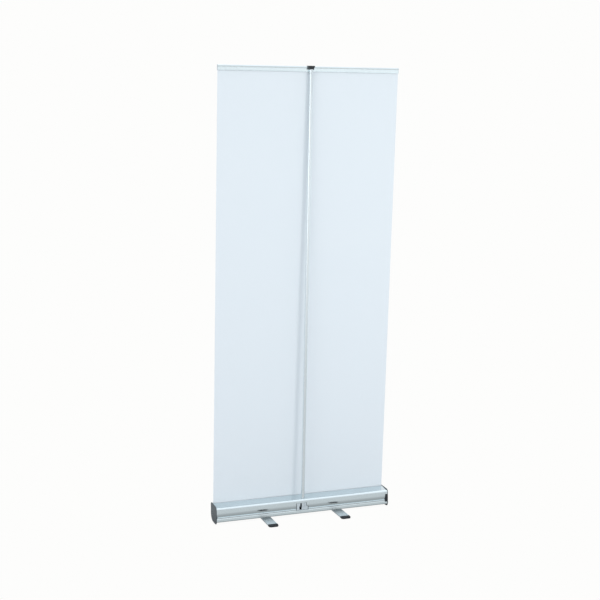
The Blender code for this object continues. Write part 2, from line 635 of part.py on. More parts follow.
def make_foot(label, metal, dark, steel, pivot):
    """An aluminium channel that turns on a rivet through its middle."""
    half, leg, low, corner = FOOT_WIDTH / 2, FOOT_WALL, FOOT_LOW, FOOT_CORNER
    outline = [(half, low)] + arc((half - corner, FOOT_TOP - corner), corner, 0, 90, 3)
    outline += arc((corner - half, FOOT_TOP - corner), corner, 90, 180, 3) + [(-half, low)]
    outline += [(leg - half, low), (leg - half, FOOT_TOP - leg), (half - leg, FOOT_TOP - leg)]
    outline += [(half - leg, low)]
    reach = FOOT_HALF_LENGTH - TIP_LENGTH
    bm = bmesh.new()
    extrude_rings(bm, [[(x, y, z) for x, z in outline] for y in (-reach, reach)])
    foot = finish_piece(f"{label}_foot", bm, metal, parent=pivot)
    hole = rod(f"{label}_foot_hole", RIVET_HOLE_RADIUS, -0.01, 0.02, None, 16, parent=pivot)
    boolean(foot, hole)
    make_foot_tip(f"{label}_foot_rear_tip", -1, dark, pivot)
    make_foot_tip(f"{label}_foot_front_tip", 1, dark, pivot)
    plate_under = FOOT_TOP - leg
    floor_inside = HOUSING_BOTTOM + WALL
    rivet = [(0, plate_under - 0.0024), (0.0050, plate_under - 0.0024), (0.0068, plate_under - 0.0012)]
    rivet += [(0.0068, plate_under - GAP), (0.0030, plate_under - GAP), (0.0030, floor_inside + GAP)]
    rivet += [(0.0058, floor_inside + GAP), (0.0050, floor_inside + 0.0018), (0, floor_inside + 0.0022)]
    x = pivot.location.x
    turned(f"{label}_foot_rivet", rivet, steel, 20, location=(x, 0, 0))
    pipe(f"{label}_foot_washer", WASHER_RADIUS, RIVET_HOLE_RADIUS, FOOT_TOP + GAP, HOUSING_BOTTOM - GAP,
         dark, 24, location=(x, 0, 0))


def main():
    clear_scene()
    aluminium = material("aluminium", (0.72, 0.74, 0.76), 0.30, 1.0)
    steel = material("steel", (0.60, 0.60, 0.60), 0.25, 1.0)
    cap_grey = material("cap_grey", (0.17, 0.19, 0.20), 0.50, 0.0)
    black = material("black_plastic", (0.02, 0.02, 0.025), 0.45, 0.0)
    light_grey = material("light_grey_plastic", (0.60, 0.62, 0.63), 0.45, 0.0)
    film = material("film", (0.86, 0.88, 0.90), 0.50, 0.0)
    cord = material("cord", (0.05, 0.05, 0.05), 0.80, 0.0)

    make_housing(aluminium)
    make_left_cap(cap_grey)
    make_right_cap(cap_grey)
    make_cap_screws(black)
    make_lock_insert(black)
    make_lock_pin(steel, empty("lock_pin_axis", (END_X + GAP, LOCK_PIN_Y, LOCK_PIN_Z)))
    make_pole_socket(light_grey)
    make_socket_screws(steel)

    make_roller(aluminium, black, film, empty("roller_axis", (0, ROLLER_Y, ROLLER_Z)))
    make_spring_side(steel, black, light_grey)
    make_torsion_spring(steel)

    film_frame = empty("film_frame", (0, SLOT_Y, HOUSING_TOP), FILM_LEAN)
    make_film(film, film_frame)
    make_rail(aluminium, light_grey, film_frame)
    make_jaw(aluminium, empty("jaw_axis", (0, BEAD_Y, BEAD_Z), FILM_LEAN))

    pole_frame = empty("pole_frame", (0, POLE_Y, POLE_Z), POLE_LEAN)
    make_pole(aluminium, black, cord, pole_frame)
    make_hook(black, pole_frame)

    for x, label in ((-FOOT_X, "left"), (FOOT_X, "right")):
        make_foot(label, aluminium, black, steel, empty(f"{label}_foot_pivot", (x, 0, 0)))


main()
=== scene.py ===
"""Looks for the roll-up banner stand: fine meshes, materials, light and camera.

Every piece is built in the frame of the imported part, in metres: X along the housing,
-Y the pole side, +Z up. Places and axes are read from the frame's joints and boxes.
"""
import json
import math

import bmesh
import bpy
from mathutils import Matrix, Vector


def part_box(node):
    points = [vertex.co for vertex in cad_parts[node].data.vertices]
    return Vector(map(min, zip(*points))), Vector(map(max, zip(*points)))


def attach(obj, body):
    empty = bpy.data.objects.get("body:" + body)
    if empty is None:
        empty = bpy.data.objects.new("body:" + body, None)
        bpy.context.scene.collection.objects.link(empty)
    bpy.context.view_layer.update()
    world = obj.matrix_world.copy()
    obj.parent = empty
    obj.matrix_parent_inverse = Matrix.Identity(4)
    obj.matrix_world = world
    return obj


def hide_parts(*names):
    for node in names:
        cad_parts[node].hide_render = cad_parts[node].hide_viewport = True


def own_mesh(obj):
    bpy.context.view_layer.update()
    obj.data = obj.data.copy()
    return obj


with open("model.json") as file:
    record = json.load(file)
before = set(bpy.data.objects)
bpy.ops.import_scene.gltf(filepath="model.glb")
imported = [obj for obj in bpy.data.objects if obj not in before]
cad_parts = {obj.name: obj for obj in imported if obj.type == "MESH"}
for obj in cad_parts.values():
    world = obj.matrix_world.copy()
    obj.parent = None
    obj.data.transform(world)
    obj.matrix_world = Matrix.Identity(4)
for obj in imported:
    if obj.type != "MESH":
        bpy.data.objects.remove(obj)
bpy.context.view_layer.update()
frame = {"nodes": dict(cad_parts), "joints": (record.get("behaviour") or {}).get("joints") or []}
JOINTS = {joint["name"]: joint for joint in frame["joints"]}

# ---------------------------------------------------------------- places from the frame
GAP = 0.0003                    # clearance between pieces that fit together
HOUSING_LOW, HOUSING_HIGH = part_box("housing")
FILM_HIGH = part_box("banner_film")[1]
END_X = HOUSING_HIGH[0]
CAP_END_X = -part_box("left_end_cap")[0][0]
CAP_INNER_X = END_X + GAP
SLOT_Y = 0.022
SLOT_Z = HOUSING_HIGH[2]
FILM_HALF_WIDTH = FILM_HIGH[0]
BEAD_CENTRE = Vector(JOINTS["rail_clamp_open"]["pos_m"])
ROLLER_CENTRE = Vector(JOINTS["roller_spin"]["pos_m"])
FILM_LEAN = math.asin(JOINTS["banner_retract"]["axis"][1])
POLE_LEAN = math.asin(-JOINTS["pole_lift"]["axis"][1])
FOOT_X = JOINTS["right_foot_swivel"]["pos_m"][0]

# ---------------------------------------------------------------- sizes of the pieces
WALL = 0.0015
SLOT_HALF = 0.003
SHARP_ANGLE = 28                # degrees; edges that turn by more are drawn sharp
BEVEL_ANGLE = 32                # degrees; edges that turn by more are rounded
POLE_RADIUS = 0.008
POLE_WALL = 0.001
POLE_ENTRY = Vector((0, -0.027, 0.0905))
BEAD_RADIUS = 0.0050
BEAD_BORE = 0.0032
JAW_PIN_RADIUS = 0.0029
RAIL_HEIGHT = 0.024
HOUSING_FRONT = 0.0455
CAP_SCREWS = [(0.0385, 0.0845), (0.0335, 0.0225), (-0.0398, 0.0218)]
FRONT_CORNER = (0.0325, 0.0785)  # centre of the rounded front top corner
HUB_RADIUS = 0.012
HUB_DEPTH = 0.006
PORT_RADIUS = 0.0036
SCREW_RADIUS = 0.0015
SCREW_HEAD_RADIUS = 0.0031
SCREW_HOLE_RADIUS = 0.0018
RIVET_HOLE_RADIUS = 0.0033
PIN_HOLE_RADIUS = 0.0023
SEAT_DEPTH = 0.0015             # recess of a screw head or of the lock pin's knob
LOCK_NOTCH_Z = (0.0312, 0.0692)
LOCK_NOTCH_LENGTH = 0.0125
SOCKET_SCREW_Y = -0.006
SOCKET_SCREWS_X = (-0.0270, 0.0110)
FOOT_REACH = 0.116
FOOT_END = 0.140
FOOT_TOP = 0.0078
FOOT_HALF_WIDTH = 0.0225
FOOT_WALL = 0.0016
FILM_HALF_THICKNESS = 0.00015
SLACK_WAVE = 0.00012            # with SLACK_CURL, less than the film's clearance in the rail
SLACK_CURL = 0.00014

FILM_FRAME = Matrix.Translation((0, SLOT_Y, SLOT_Z)) @ Matrix.Rotation(FILM_LEAN, 4, "X")
POLE_FRAME = Matrix.Translation(POLE_ENTRY) @ Matrix.Rotation(POLE_LEAN, 4, "X")
BEAD_W = (FILM_FRAME.inverted() @ BEAD_CENTRE).z
BEAD_IN_POLE = POLE_FRAME.inverted() @ BEAD_CENTRE
ALONG_X = Matrix.Rotation(math.pi / 2, 4, "Y")


# ---------------------------------------------------------------- mesh helpers
def arc(centre, radius, start, end, steps):
    angles = [math.radians(start + (end - start) * i / steps) for i in range(steps + 1)]
    return [(centre[0] + radius * math.cos(a), centre[1] + radius * math.sin(a)) for a in angles]


def arc_through(first, middle, last, steps):
    """Points on the circular arc through three points."""
    (ax, ay), (bx, by), (cx, cy) = first, middle, last
    scale = 2 * (ax * (by - cy) + bx * (cy - ay) + cx * (ay - by))
    a2, b2, c2 = ax * ax + ay * ay, bx * bx + by * by, cx * cx + cy * cy
    ox = (a2 * (by - cy) + b2 * (cy - ay) + c2 * (ay - by)) / scale
    oy = (a2 * (cx - bx) + b2 * (ax - cx) + c2 * (bx - ax)) / scale
    start = math.atan2(ay - oy, ax - ox)
    turn = (math.atan2(cy - oy, cx - ox) - start) % (2 * math.pi)
    via = (math.atan2(by - oy, bx - ox) - start) % (2 * math.pi)
    if via > turn:
        turn -= 2 * math.pi
    return arc((ox, oy), math.hypot(ax - ox, ay - oy), math.degrees(start), math.degrees(start + turn), steps)


def offset_path(points, distance):
    """Moves an open path sideways, to the left of its direction."""
    moved = []
    for i, point in enumerate(points):
        here = Vector(point)
        before = Vector(points[max(i - 1, 0)])
        after = Vector(points[min(i + 1, len(points) - 1)])
        ways = [way.normalized() for way in (here - before, after - here) if way.length > 1e-9]
        normals = [Vector((-way.y, way.x)) for way in ways]
        bisector = sum(normals, Vector((0, 0))).normalized()
        moved.append(tuple(here + bisector * (distance / bisector.dot(normals[0]))))
    return moved


def skin(bm, rings):
    """Joins rings of equal size one after another, and caps both ends."""
    loops = [[bm.verts.new(point) for point in ring] for ring in rings]
    count = len(loops[0])
    for low, high in zip(loops, loops[1:]):
        for i in range(count):
            j = (i + 1) % count
            bm.faces.new((low[i], low[j], high[j], high[i]))
    bm.faces.new(loops[0][::-1])
    bm.faces.new(loops[-1])


def mesh_object(name, bm, matrix=None, angle=SHARP_ANGLE):
    """Makes a piece whose own axes are given by the matrix."""
    bmesh.ops.recalc_face_normals(bm, faces=bm.faces)
    mesh = bpy.data.meshes.new(name)
    bm.to_mesh(mesh)
    bm.free()
    mesh.shade_smooth()
    mesh.set_sharp_from_angle(angle=math.radians(angle))
    obj = bpy.data.objects.new(name, mesh)
    obj.matrix_world = matrix or Matrix.Identity(4)
    bpy.context.scene.collection.objects.link(obj)
    return obj


def bar(name, outline, start, end, matrix=None):
    """Extrudes a closed (y, z) outline along X."""
    bm = bmesh.new()
    skin(bm, [[(x, y, z) for y, z in outline] for x in (start, end)])
    return mesh_object(name, bm, matrix)


def rounded(outline, radius, steps=4, least=25):
    """Rounds the corners of a closed outline that turn by more than a least angle, in degrees."""
    points = [Vector(point) for point in outline]
    result = []
    for i, here in enumerate(points):
        back = points[i - 1] - here
        on = points[(i + 1) % len(points)] - here
        inside = back.angle(on)
        if math.degrees(math.pi - inside) < least:
            result.append(tuple(here))
            continue
        reach = min(radius / math.tan(inside / 2), 0.45 * back.length, 0.45 * on.length)
        first = here + back.normalized() * reach
        last = here + on.normalized() * reach
        for k in range(steps + 1):
            t = k / steps
            result.append(tuple(first * (1 - t) ** 2 + here * (2 * t * (1 - t)) + last * t * t))
    return result


def block(name, low, high, matrix=None):
    outline = [(low[1], low[2]), (high[1], low[2]), (high[1], high[2]), (low[1], high[2])]
    return bar(name, outline, low[0], high[0], matrix)


def turned(name, profile, matrix=None, segments=48, angle=SHARP_ANGLE):
    """Turns a (radius, height) profile about Z; closed where it meets the axis."""
    bm = bmesh.new()
    rings = []
    for radius, height in profile:
        if radius == 0:
            rings.append([bm.verts.new((0, 0, height))])
            continue
        angles = [2 * math.pi * i / segments for i in range(segments)]
        rings.append([bm.verts.new((radius * math.cos(a), radius * math.sin(a), height)) for a in angles])
    if profile[0][0] != 0:
        rings.append(rings[0])
    for low, high in zip(rings, rings[1:]):
        for i in range(segments):
            j = (i + 1) % segments
            corners = [low[i % len(low)], low[j % len(low)], high[j % len(high)], high[i % len(high)]]
            bm.faces.new(list(dict.fromkeys(corners)))
    return mesh_object(name, bm, matrix, angle)


def rod(name, radius, start, end, matrix=None, segments=48):
    return turned(name, [(0, start), (radius, start), (radius, end), (0, end)], matrix, segments)


def combine(target, others, operation="DIFFERENCE"):
    """Cuts other closed meshes from the target, or joins them to it, and keeps the result as its mesh."""
    for other in others:
        mod = target.modifiers.new(other.name, "BOOLEAN")
        mod.operation = operation
        mod.object = other
        mod.solver = "EXACT"
    bpy.context.view_layer.update()
    depsgraph = bpy.context.evaluated_depsgraph_get()
    result = bpy.data.meshes.new_from_object(target.evaluated_get(depsgraph))
    target.modifiers.clear()
    target.data = result
    result.name = target.name
    result.shade_smooth()
    result.set_sharp_from_angle(angle=math.radians(SHARP_ANGLE))
    for other in others:
        bpy.data.objects.remove(other)


def soften(obj, width, segments=2):
    """Rounds the sharp edges of a piece."""
    mod = obj.modifiers.new("soft_edges", "BEVEL")
    mod.width = width
    mod.segments = segments
    mod.limit_method = "ANGLE"
    mod.angle_limit = math.radians(BEVEL_ANGLE)
    mod.harden_normals = True


def dress(obj, mat, body, slot, *nodes):
    """Gives a piece its material, the body it rides on and the CAD nodes it stands for."""
    flats = obj.modifiers.new("flat_faces_stay_flat", "WEIGHTED_NORMAL")
    flats.keep_sharp = True
    obj.data.materials.clear()
    obj.data.materials.append(mat)
    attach(obj, body)
    if nodes:
        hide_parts(*nodes)
    return obj


# ---------------------------------------------------------------- material helpers
class Shader:
    """A material's node tree, with short calls for the nodes that the materials use."""

    def __init__(self, name):
        self.mat = bpy.data.materials.new(name)
        self.mat.use_nodes = True
        self.tree = self.mat.node_tree
        self.principled = self.tree.nodes["Principled BSDF"]
        self.coords = self.tree.nodes.new("ShaderNodeTexCoord").outputs["Object"]

    def node(self, kind, settings=None, **inputs):
        made = self.tree.nodes.new("ShaderNode" + kind)
        for key, value in (settings or {}).items():
            setattr(made, key, value)
        for key, value in inputs.items():
            self.put(made.inputs[key.replace("_", " ")], value)
        return made

    def put(self, socket, value):
        if isinstance(value, bpy.types.NodeSocket):
            self.tree.links.new(value, socket)
        else:
            socket.default_value = value

    def set(self, **inputs):
        for key, value in inputs.items():
            self.put(self.principled.inputs[key.replace("_", " ")], value)

    def stretched(self, scale):
        return self.node("Mapping", Vector=self.coords, Scale=scale).outputs["Vector"]

    def noise(self, scale, detail=2.0, vector=None, roughness=0.5):
        made = self.node("TexNoise", Vector=vector or self.coords, Scale=scale, Detail=detail,
                         Roughness=roughness)
        return made.outputs["Fac"]

    def ramp(self, value, low, high, out_low=0.0, out_high=1.0):
        """Maps a value's range to another range, clamped at both ends."""
        made = self.node("MapRange", Value=value)
        made.inputs["From Min"].default_value = low
        made.inputs["From Max"].default_value = high
        made.inputs["To Min"].default_value = out_low
        made.inputs["To Max"].default_value = out_high
        return made.outputs["Result"]

    def maths(self, operation, a, b=0.0):
        made = self.node("Math", {"operation": operation})
        self.put(made.inputs[0], a)
        self.put(made.inputs[1], b)
        return made.outputs["Value"]

    def blend(self, factor, a, b):
        made = self.node("Mix", {"data_type": "RGBA"})
        self.put(made.inputs[0], factor)
        self.put(made.inputs[6], a)
        self.put(made.inputs[7], b)
        return made.outputs[2]

    def bump(self, height, strength, distance, normal=None):
        made = self.node("Bump", Height=height, Strength=strength, Distance=distance)
        if normal is not None:
            self.put(made.inputs["Normal"], normal)
        return made.outputs["Normal"]


def rgb(red, green, blue):
    return (red, green, blue, 1.0)


def anodised(name, along=(2.0, 900.0, 900.0), colour=(0.705, 0.785, 0.81), roughness=0.17, metallic=1.0):
    """Satin anodised aluminium: die lines along the extrusion, soft mottling, faint rub marks."""
    s = Shader(name)
    lines = s.noise(1.0, 3.0, s.stretched(along))
    hairs = s.noise(1.0, 2.0, s.stretched(tuple(4.5 * value for value in along)))
    clouds = s.noise(9.0, 3.0)
    marks = s.ramp(s.noise(1.0, 4.0, s.stretched(tuple(value * 0.25 + 40 for value in along))), 0.66, 0.74)
    dark = rgb(*(value * 0.94 for value in colour))
    light = rgb(*(min(value * 1.03, 1.0) for value in colour))
    mottle = s.maths("ADD", s.maths("MULTIPLY", lines, 0.5), s.maths("MULTIPLY", clouds, 0.5))
    tone = s.blend(mottle, dark, light)
    rough = s.maths("ADD", s.ramp(lines, 0.3, 0.7, roughness - 0.03, roughness + 0.05),
                    s.maths("MULTIPLY", marks, 0.08))
    normal = s.bump(lines, 0.22, 0.00004)
    normal = s.bump(hairs, 0.10, 0.00002, normal)
    s.set(Base_Color=tone, Metallic=metallic, Roughness=rough, Normal=normal)
    return s.mat


def moulded(name, colour, roughness, grain=0.35, scale=2600.0):
    """Moulded plastic: spark-eroded grain, slight flow mottling and a little dust."""
    s = Shader(name)
    grit = s.node("TexVoronoi", {"feature": "SMOOTH_F1"}, Vector=s.coords, Scale=scale).outputs["Distance"]
    fine = s.noise(scale * 1.7, 2.0)
    flow = s.noise(22.0, 4.0)
    dark = rgb(*(value * 0.88 for value in colour))
    light = rgb(*(min(value * 1.12, 1.0) for value in colour))
    tone = s.blend(flow, dark, light)
    dust = s.ramp(s.noise(140.0, 5.0, roughness=0.7), 0.60, 0.78, 0.0, 0.10)
    dusty = s.blend(dust, tone, rgb(0.55, 0.56, 0.57))
    rough = s.ramp(s.noise(60.0, 3.0), 0.3, 0.7, roughness - 0.05, roughness + 0.07)
    normal = s.bump(grit, grain, 0.00006)
    normal = s.bump(fine, grain * 0.5, 0.00003, normal)
    s.set(Base_Color=dusty, Roughness=rough, Normal=normal, Specular_IOR_Level=0.45)
    return s.mat


def display_film(name):
    """Blank satin film: calendered micro texture, faint roll bands, small specks and painted shade darker
    towards the foot.
    """
    s = Shader(name)
    grain = s.noise(3200.0, 2.0)
    calender = s.noise(1.0, 3.0, s.stretched((55.0, 10.0, 2.2)))
    bands = s.noise(1.0, 2.0, s.stretched((1.6, 1.0, 7.0)))
    cool = rgb(0.813, 0.874, 0.914)
    warm = rgb(0.824, 0.880, 0.914)
    tone = s.blend(bands, cool, warm)
    specks = s.ramp(s.noise(420.0, 3.0, roughness=0.6), 0.70, 0.80, 0.0, 0.05)
    speckled = s.blend(specks, tone, rgb(0.68, 0.72, 0.77))
    height = s.node("SeparateXYZ", Vector=s.coords).outputs["Z"]
    # painted shade: the colour is blended up to 7% towards blue-grey at the film's foot, fading out 1.6 m up
    # the film
    with_painted_low_shade = s.blend(s.ramp(height, 0.0, 1.6, 0.07, 0.0), speckled, rgb(0.48, 0.52, 0.62))
    rough = s.ramp(calender, 0.3, 0.7, 0.36, 0.46)
    normal = s.bump(grain, 0.12, 0.00002)
    normal = s.bump(calender, 0.06, 0.0004, normal)
    s.set(Base_Color=with_painted_low_shade, Roughness=rough, Normal=normal, Specular_IOR_Level=0.35)
    return s.mat


def plated_steel(name):
    """Zinc-plated steel: mottled crystals, slightly yellow and blue patches."""
    s = Shader(name)
    crystals = s.node("TexVoronoi", Vector=s.coords, Scale=900.0).outputs["Distance"]
    patches = s.noise(260.0, 3.0)
    tone = s.blend(patches, rgb(0.60, 0.60, 0.57), rgb(0.66, 0.69, 0.73))
    rough = s.ramp(crystals, 0.0, 0.8, 0.20, 0.36)
    s.set(Base_Color=tone, Metallic=1.0, Roughness=rough, Normal=s.bump(crystals, 0.15, 0.00003))
    return s.mat


def braided_cord(name):
    """Elastic cord: two crossing families of yarns round the cord."""
    s = Shader(name)
    parts = s.node("SeparateXYZ", Vector=s.coords).outputs
    around = s.maths("ARCTAN2", parts["X"], parts["Y"])
    climb = s.maths("MULTIPLY", parts["Z"], 2400.0)
    one = s.maths("SINE", s.maths("ADD", climb, s.maths("MULTIPLY", around, 6.0)))
    two = s.maths("SINE", s.maths("SUBTRACT", climb, s.maths("MULTIPLY", around, 6.0)))
    yarn = s.ramp(s.maths("MULTIPLY", one, two), -1.0, 1.0)
    tone = s.blend(yarn, rgb(0.02, 0.02, 0.022), rgb(0.09, 0.09, 0.095))
    s.set(Base_Color=tone, Roughness=0.85, Normal=s.bump(yarn, 0.5, 0.0002))
    return s.mat


ALUMINIUM_X = anodised("aluminium_along_x", along=(2.0, 900.0, 900.0))
FOOT_METAL = anodised("foot_aluminium", along=(900.0, 2.0, 900.0), colour=(0.60, 0.68, 0.71), roughness=0.40,
                      metallic=0.50)
ALUMINIUM_Z = anodised("aluminium_along_z", along=(900.0, 900.0, 2.0), colour=(0.75, 0.81, 0.835),
                       roughness=0.26)
CAP_GREY = moulded("cap_grey", (0.070, 0.085, 0.095), 0.46)
BLACK = moulded("black_plastic", (0.014, 0.018, 0.022), 0.42, grain=0.25)
TIP_BLACK = moulded("foot_tip_plastic", (0.010, 0.013, 0.017), 0.62, grain=0.30)
LIGHT = moulded("light_plastic", (0.56, 0.62, 0.65), 0.40, grain=0.20)
FILM = display_film("display_film")
STEEL = plated_steel("plated_steel")
CORD = braided_cord("braided_cord")


# ---------------------------------------------------------------- housing
def rear_face():
    """From the slot's near lip over the shoulder and down the convex wall."""
    path = [(SLOT_Y - SLOT_HALF, SLOT_Z)]
    path += arc_through((-0.0360, 0.0872), (-0.0442, 0.0831), (-0.0474, 0.0747), 14)
    path += arc_through((-0.0474, 0.0747), (-0.0480, 0.0600), (-0.0440, 0.0425), 24)[1:]
    return path


def lower_lip(lip_steps):
    """From the lower lip under the housing to the far wall and up to the slot's far lip."""
    path = [(-0.0480, 0.0334)]
    path += arc_through((-0.0486, 0.0250), (-0.0482, 0.0210), (-0.0458, 0.0188), lip_steps)
    path += [(-0.0370, 0.0163), (-0.0150, HOUSING_LOW[2])]
    path += arc_through((0.0100, HOUSING_LOW[2]), (0.0350, 0.0185), (HOUSING_FRONT, 0.0420), 22)
    path += arc(FRONT_CORNER, 0.013, 0, 90, 14)
    path += [(SLOT_Y + SLOT_HALF, SLOT_Z)]
    return path


def housing_outline():
    """Closed outline of the extrusion: ledge, groove and lip outside, plain wall inside."""
    lip_steps = 12
    groove_low = (-0.0466, 0.0350)
    ledge = [(-0.0470, 0.0407), (-0.0475, 0.0396), (-0.0466, 0.0376), groove_low]
    outside = rear_face() + ledge + lower_lip(lip_steps)
    lower_inside = lower_lip(lip_steps)[3 * lip_steps // 4 + 1:]
    inside = offset_path(rear_face() + [groove_low] + lower_inside, WALL)
    return rounded(outside + inside[::-1], 0.0004)


def notch_cutter():
    """Cutter for the window round the pole's socket; its right end is lower than the rest."""
    outline = [(-0.0400, 0.0345), (0.0215, 0.0345), (0.0215, 0.0535), (0.0125, 0.0535), (0.0125, 0.0700),
               (-0.0400, 0.0700)]
    bm = bmesh.new()
    skin(bm, [[(x, y, z) for x, z in rounded(outline, 0.0010)] for y in (-0.060, -0.040)])
    return mesh_object("socket_notch", bm)


def make_housing():
    housing = bar("housing_shell", housing_outline(), -END_X, END_X)
    ports = [rod(f"port_{i}", PORT_RADIUS, 0.0005 - END_X, END_X - 0.0005,
                 Matrix.Translation((0, y, z)) @ ALONG_X, 24)
             for i, (y, z) in enumerate(CAP_SCREWS)]
    combine(housing, ports, "UNION")
    cutters = [rod(f"port_bore_{i}", SCREW_HOLE_RADIUS, -0.5, 0.5,
                   Matrix.Translation((0, y, z)) @ ALONG_X, 20)
               for i, (y, z) in enumerate(CAP_SCREWS)]
    cutters.append(rod("pole_hole", POLE_RADIUS + 0.0013, -0.012, 0.02, POLE_FRAME, 64))
    cutters.append(notch_cutter())
    cutters.append(block("lock_notch", (END_X - LOCK_NOTCH_LENGTH, -0.060, LOCK_NOTCH_Z[0]),
                         (0.5, -0.040, LOCK_NOTCH_Z[1])))
    cutters += [rod(f"rivet_hole_{i}", RIVET_HOLE_RADIUS, 0, 0.02, Matrix.Translation((x, 0, 0)), 32)
                for i, x in enumerate((-FOOT_X, FOOT_X))]
    cutters += [rod(f"socket_screw_hole_{i}", SCREW_HOLE_RADIUS, 0, 0.02,
                    Matrix.Translation((x, SOCKET_SCREW_Y, 0)), 20)
                for i, x in enumerate(SOCKET_SCREWS_X)]
    combine(housing, cutters)
    dress(housing, ALUMINIUM_X, "base", "anodised_aluminium", "housing")


def cap_outline(inset):
    path = arc_through((-0.0325, 0.0918), (-0.0438, 0.0872), (-0.0481, 0.0770), 14)
    path += arc_through((-0.0481, 0.0770), (-0.0500, 0.0560), (-0.0506, 0.0280), 18)[1:]
    path += arc_through((-0.0506, 0.0280), (-0.0450, 0.0138), (-0.0290, 0.0071), 18)[1:]
    path += [(-0.0060, 0.0058)]
    path += arc_through((0.0110, 0.0074), (0.0362, 0.0166), (0.0472, 0.0410), 22)
    path += arc(FRONT_CORNER, 0.0147, 0, 90, 16)
    path.append(path[0])
    return offset_path([path[-2]] + path + [path[1]], inset)[1:-2]


def make_end_cap(label, side, bore):
    inner, outer = side * CAP_INNER_X, side * CAP_END_X
    edge = 0.0008
    rings = [(inner, 0.0002), (inner + side * 0.0002, 0)]
    for i in range(6):
        turn = math.radians(18 * i)
        rings.append((outer - side * edge * (1 - math.sin(turn)), edge * (1 - math.cos(turn))))
    bm = bmesh.new()
    skin(bm, [[(x, y, z) for y, z in cap_outline(inset)] for x, inset in rings])
    cap = mesh_object(f"{label}_end_cap_moulding", bm)
    turn_out = Matrix.Rotation(side * math.pi / 2, 4, "Y")
    turn_in = Matrix.Rotation(-side * math.pi / 2, 4, "Y")
    root = 0.0014
    hub_place = Matrix.Translation((inner + side * root, *ROLLER_CENTRE.yz)) @ turn_in
    joined = [rod("hub", HUB_RADIUS, 0, HUB_DEPTH + root, hub_place, 64)]
    if side < 0:
        joined.append(block("tab", (-END_X - 0.0020, -0.0508, 0.0375), (-END_X + 0.0023, -0.0489, 0.0480)))
    combine(cap, joined, "UNION")
    cutters = [rod("bore", bore, -0.02, 0.02, Matrix.Translation((inner, *ROLLER_CENTRE.yz)) @ ALONG_X, 48)]
    for i, (y, z) in enumerate(CAP_SCREWS):
        place = Matrix.Translation((outer, y, z)) @ turn_out
        cutters.append(rod(f"hole_{i}", SCREW_HOLE_RADIUS, -0.02, -0.001, place, 24))
        seat = [(0, -SEAT_DEPTH), (0.0035, -SEAT_DEPTH), (0.0035, -0.0003), (0.0042, 0.0004),
                (0.0042, 0.002), (0, 0.002)]
        cutters.append(turned(f"seat_{i}", seat, place, 40))
    if side > 0:
        pin = Vector(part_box("lock_pin")[0]).lerp(Vector(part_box("lock_pin")[1]), 0.5)
        pin_place = Matrix.Translation((inner, pin.y, pin.z)) @ ALONG_X
        cutters.append(rod("pin_hole", PIN_HOLE_RADIUS, -0.02, 0.02, pin_place, 32))
        for i, (y, z, depth) in enumerate(((pin.y, pin.z, SEAT_DEPTH), (*ROLLER_CENTRE.yz, 0.0032))):
            recess = [(0, -depth), (0.0068, -depth), (0.0068, -0.0003), (0.0076, 0.0005),
                      (0.0076, 0.002), (0, 0.002)]
            cutters.append(turned(f"recess_{i}", recess, Matrix.Translation((outer, y, z)) @ ALONG_X, 56))
        cutters.append(block("insert_notch", (END_X - 0.01, -0.060, LOCK_NOTCH_Z[0] - 0.0001),
                             (0.5, -0.0346, LOCK_NOTCH_Z[1] + 0.0001)))
    combine(cap, cutters)
    dress(cap, CAP_GREY, "base", "cap_grey", f"{label}_end_cap")


def make_screw(name, place, length, mat, slot, node):
    """Pan-head screw with a cross recess; its head's underside is at the origin and it points along -Z."""
    r, head = SCREW_RADIUS, SCREW_HEAD_RADIUS
    profile = [(0, -length), (r * 0.4, -length), (r, -length + 0.002)]
    thread = 0.0005
    level = -length + 0.002
    while level + thread < -0.0008:
        profile += [(r - 0.00022, level + thread * 0.35), (r, level + thread * 0.85)]
        level += thread
    profile += [(r, -0.0004), (r, 0), (head - 0.0002, 0), (head, 0.0002), (head, 0.0004)]
    profile += [(head * math.cos(math.radians(a)), 0.0004 + 0.0008 * math.sin(math.radians(a)))
                for a in (18, 36, 54, 72)]
    profile.append((0, 0.0012))
    screw = turned(name, profile, place, 32)
    cross = []
    for i, (half_x, half_y) in enumerate(((0.0017, 0.0003), (0.0003, 0.0017))):
        bm = bmesh.new()
        rings = []
        for z, grow in ((0.0004, 0.55), (0.0024, 1.25)):
            x, y = half_x * grow if half_x > half_y else half_x, half_y * grow if half_y > half_x else half_y
            rings.append([(x, y, z), (-x, y, z), (-x, -y, z), (x, -y, z)])
        skin(bm, rings)
        cross.append(mesh_object(f"{name}_recess_{i}", bm, place))
    combine(screw, cross)
    dress(screw, mat, "base", slot, node)


def make_screws():
    for side, label in ((-1, "left"), (1, "right")):
        seat = side * (CAP_END_X - SEAT_DEPTH + 0.0002)
        for i, (y, z) in enumerate(CAP_SCREWS):
            name = f"{label}_cap_screw_{i + 1}"
            place = Matrix.Translation((seat, y, z)) @ Matrix.Rotation(side * math.pi / 2, 4, "Y")
            make_screw(f"{name}_fine", place, 0.012, BLACK, "black_plastic", name)
    for x, label in zip(SOCKET_SCREWS_X, ("left", "right")):
        seat = Matrix.Translation((x, SOCKET_SCREW_Y, HOUSING_LOW[2] - 0.0002))
        place = seat @ Matrix.Rotation(math.pi, 4, "X")
        make_screw(f"socket_screw_{label}_fine", place, 0.0075, STEEL, "steel", f"socket_screw_{label}")


